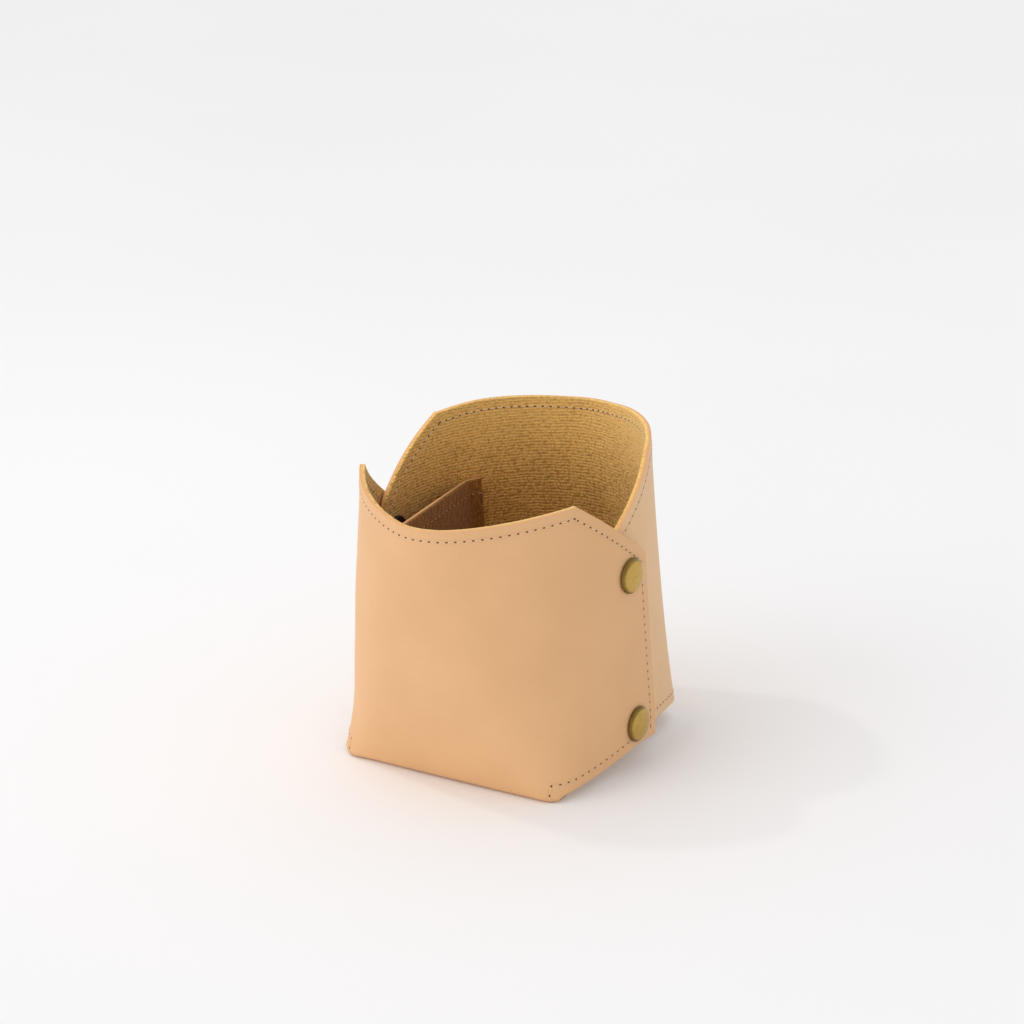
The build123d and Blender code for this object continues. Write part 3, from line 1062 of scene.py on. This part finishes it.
enamel = enamel_finish()
for node_name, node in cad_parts.items():
    kind = node_name.split("_")[1]
    if kind in ("cap", "socket", "stud"):
        low, high = np.array(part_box(node_name)) * 1000.0
        finish = brass_finish(f"brass_{node_name}", (low + high) / 2)
        node.data.materials.clear()
        node.data.materials.append(finish)
    elif kind == "post":
        node.data.materials.clear()
        node.data.materials.append(enamel)


# Floor, light and camera
# A white sweep that fills the picture, a studio dome that is dimmer towards the right, a wide soft
# panel to the front left and a small lamp to the left that throws the pale shadow to the right.

def floor_finish():
    """White card with a very faint unevenness."""
    finish = Finish("floor_card", roughness=0.9)
    place = finish.node("TexCoord", output="Object")
    tone = finish.noise(place, 3.0, 2.0)
    finish.set(base_color=finish.blend(tone.between(0.3, 0.7), shade(248, 247, 247),
                                       shade(250, 249, 249)))
    return finish.material


floor_mesh = bpy.data.meshes.new("floor")
reach = 6.0
floor_mesh.from_pydata([(-reach, -reach, 0), (reach, -reach, 0), (reach, reach, 0),
                        (-reach, reach, 0)], [], [(0, 1, 2, 3)])
floor_mesh.materials.append(floor_finish())
floor = bpy.data.objects.new("floor", floor_mesh)
bpy.context.collection.objects.link(floor)

world = bpy.data.worlds.new("studio")
world.use_nodes = True
bpy.context.scene.world = world
tree = world.node_tree
background = tree.nodes["Background"]
backdrop = tree.nodes.new("ShaderNodeBackground")
backdrop.inputs["Color"].default_value = shade(246, 246, 248)
background.inputs["Color"].default_value = (0.985, 0.99, 1.0, 1.0)
around = tree.nodes.new("ShaderNodeTexCoord")
sides = tree.nodes.new("ShaderNodeSeparateXYZ")
tree.links.new(around.outputs["Generated"], sides.inputs[0])
to_right, to_back = [Field(tree, sides.outputs[k]) for k in (0, 1)]
feed(tree, background.inputs["Strength"],
     1.01 - to_right.between(-0.3, 1.0) * 0.39 - to_back * 0.08)
light_path = tree.nodes.new("ShaderNodeLightPath")
choice = tree.nodes.new("ShaderNodeMixShader")
tree.links.new(light_path.outputs["Is Camera Ray"], choice.inputs[0])
tree.links.new(background.outputs[0], choice.inputs[1])
tree.links.new(backdrop.outputs[0], choice.inputs[2])
tree.links.new(choice.outputs[0], tree.nodes["World Output"].inputs[0])


def panel(name, place, target, size, power, tint):
    """Square light panel at a place, facing a target."""
    light = bpy.data.lights.new(name, "AREA")
    light.size = size
    light.energy = power
    light.color = tint
    lamp = bpy.data.objects.new(name, light)
    bpy.context.collection.objects.link(lamp)
    aim = Vector(target) - Vector(place)
    facing = aim.to_track_quat("-Z", "Y").to_matrix().to_4x4()
    lamp.matrix_world = Matrix.Translation(place) @ facing
    return lamp


holder_middle = (0.0, 0.0, 0.04)
key = panel("key", (-0.4, -0.035, 0.66), holder_middle, 0.035, 0.4, (1.0, 0.975, 0.945))
panel("fill", (-1.6, -2.4, 2.0), holder_middle, 2.4, 14.5, (1.0, 0.985, 0.97))

# The floor below the right wing's foot lies in the holder's own shadow, so the lamp that reaches
# it through the mouth is kept off it.
slot_middle = np.array([34.0, 1.0])
slot_width = 20.5
slot_half_length = 42.0
slot_lift = 0.02
slot_corners = 24
slot_angle = np.linspace(-np.pi / 2, np.pi / 2, slot_corners)
slot_rim = np.stack([slot_middle[0] + slot_width * np.cos(slot_angle),
                     slot_middle[1] + slot_half_length * np.sin(slot_angle),
                     np.full(slot_corners, slot_lift)], axis=-1) / 1000.0
slot_mesh = bpy.data.meshes.new("floor_under_wing")
slot_mesh.from_pydata(slot_rim.tolist(), [], [list(range(slot_corners))])
slot_mesh.materials.append(floor_mesh.materials[0])
slot_floor = bpy.data.objects.new("floor_under_wing", slot_mesh)
bpy.context.collection.objects.link(slot_floor)
shaded = bpy.data.collections.new("kept_from_key")
shaded.objects.link(slot_floor)
key.light_linking.receiver_collection = shaded
shaded.collection_objects[0].light_linking.link_state = "EXCLUDE"

camera_data = bpy.data.cameras.new("camera")
camera_data.sensor_width = 36.0
camera_data.lens = 106.3
camera_data.clip_start = 0.05
camera = bpy.data.objects.new("camera", camera_data)
bpy.context.collection.objects.link(camera)
turn, pitch, roll = 0.571, 0.3452, -0.028
ahead = Vector((-np.sin(turn) * np.cos(pitch), np.cos(turn) * np.cos(pitch), -np.sin(pitch)))
level = Vector((np.cos(turn), np.sin(turn), 0.0))
above = level.cross(ahead)
right = level * np.cos(roll) + above * np.sin(roll)
upward = above * np.cos(roll) - level * np.sin(roll)
axes = Matrix((right, upward, -ahead)).transposed().to_4x4()
camera_place = (0.4960, -0.77066, 0.4076)
camera.matrix_world = Matrix.Translation(camera_place) @ axes
bpy.context.scene.camera = camera
bpy.context.scene.view_settings.view_transform = "Standard"
